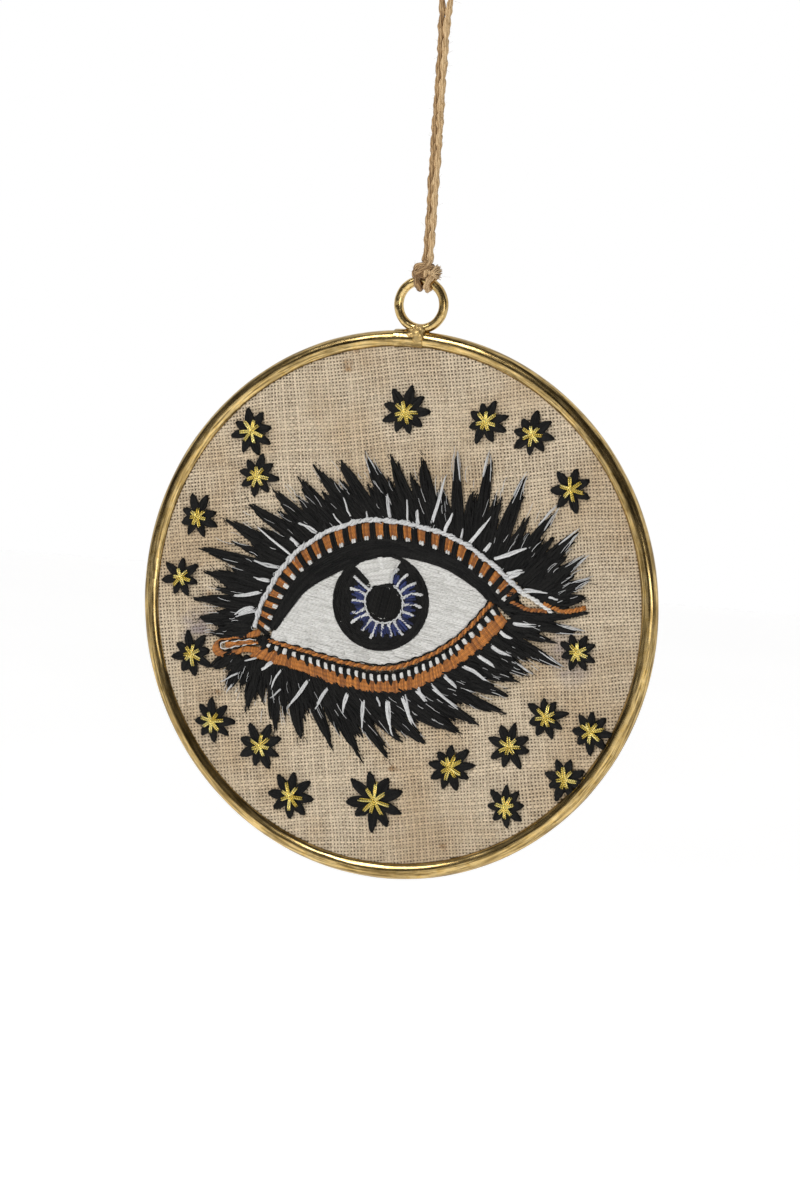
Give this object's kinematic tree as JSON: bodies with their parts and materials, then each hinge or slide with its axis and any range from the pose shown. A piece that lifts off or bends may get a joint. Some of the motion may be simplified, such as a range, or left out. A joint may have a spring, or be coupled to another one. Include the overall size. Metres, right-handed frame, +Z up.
{
  "type": "hanging ornament",
  "caption": "Round hanging ornament: linen disc embroidered with an eye and flowers, in a brass tube hoop with a ring and a string loop.",
  "frame": {"origin": "inside of the top of the string's loop, where the hook or nail bears", "axes": "+Z up along the string; the embroidered front faces -Y; +X to the right of the front"},
  "size_m": [0.115, 0.0052, 0.1998],
  "materials": {
    "jute": "coarse, hairy",
    "brass": "polished, lightly handled",
    "braze": "rough as brazed",
    "card": "matt",
    "wadding": "soft felt",
    "felt": "matt felt",
    "linen": "natural plain weave",
    "thread_black": "stranded cotton, slight sheen",
    "thread_white": "stranded cotton, slight sheen",
    "thread_grey": "stranded cotton, slight sheen",
    "thread_blue": "stranded cotton, slight sheen",
    "thread_orange": "stranded cotton, slight sheen",
    "thread_gold": "metallised thread, bright"
  },
  "bodies": {
    "cord": {"cord_loop": "jute"},
    "knot": {"ring_knot": "jute", "knot_tail": "jute"},
    "wrap": {"knot_wrap": "jute"},
    "ornament": {"hanging_ring": "brass", "hoop_tube": "brass", "seam_sleeve": "brass", "solder_bead": "braze", "card_core": "card", "felt_pad": "wadding", "back_felt": "felt", "face_linen": "linen", "upper_lashes": "thread_black", "lower_lashes": "thread_black", "upper_lash_lights": "thread_grey", "lower_lash_lights": "thread_grey", "sclera_satin": "thread_white", "iris_black": "thread_black", "iris_blue": "thread_blue", "iris_grey": "thread_grey", "pupil": "thread_black", "glint": "thread_white", "upper_lid_black": "thread_black", "upper_lid_orange": "thread_orange", "upper_lid_bars": "thread_black", "upper_lid_tips": "thread_white", "upper_lid_outline": "thread_grey", "lower_lid_line": "thread_orange", "lower_lid_black": "thread_black", "lower_lid_dashes": "thread_white", "lower_lid_orange": "thread_orange", "tear_loop": "thread_orange", "tear_loop_white": "thread_white", "tail_black": "thread_black", "tail_orange": "thread_orange", "tail_white": "thread_white", "star_petals": "thread_black", "star_gold": "thread_gold"}
  },
  "joints": [
    {"name": "cord_twist", "type": "hinge", "parent": "cord", "child": "knot", "pos_m": [0.00065, 0, -0.069], "axis": [0, 0, 1], "range_deg": [-180, 180], "stiffness_Nm_per_rad": 0.00002},
    {"name": "ring_swing", "type": "hinge", "parent": "knot", "child": "wrap", "pos_m": [0, 0, -0.073], "axis": [1, 0, 0], "range_deg": [-90, 90]},
    {"name": "ring_slip", "type": "hinge", "parent": "wrap", "child": "ornament", "pos_m": [0, 0, -0.078], "axis": [0, 1, 0], "range_deg": [-90, 90]}
  ]
}
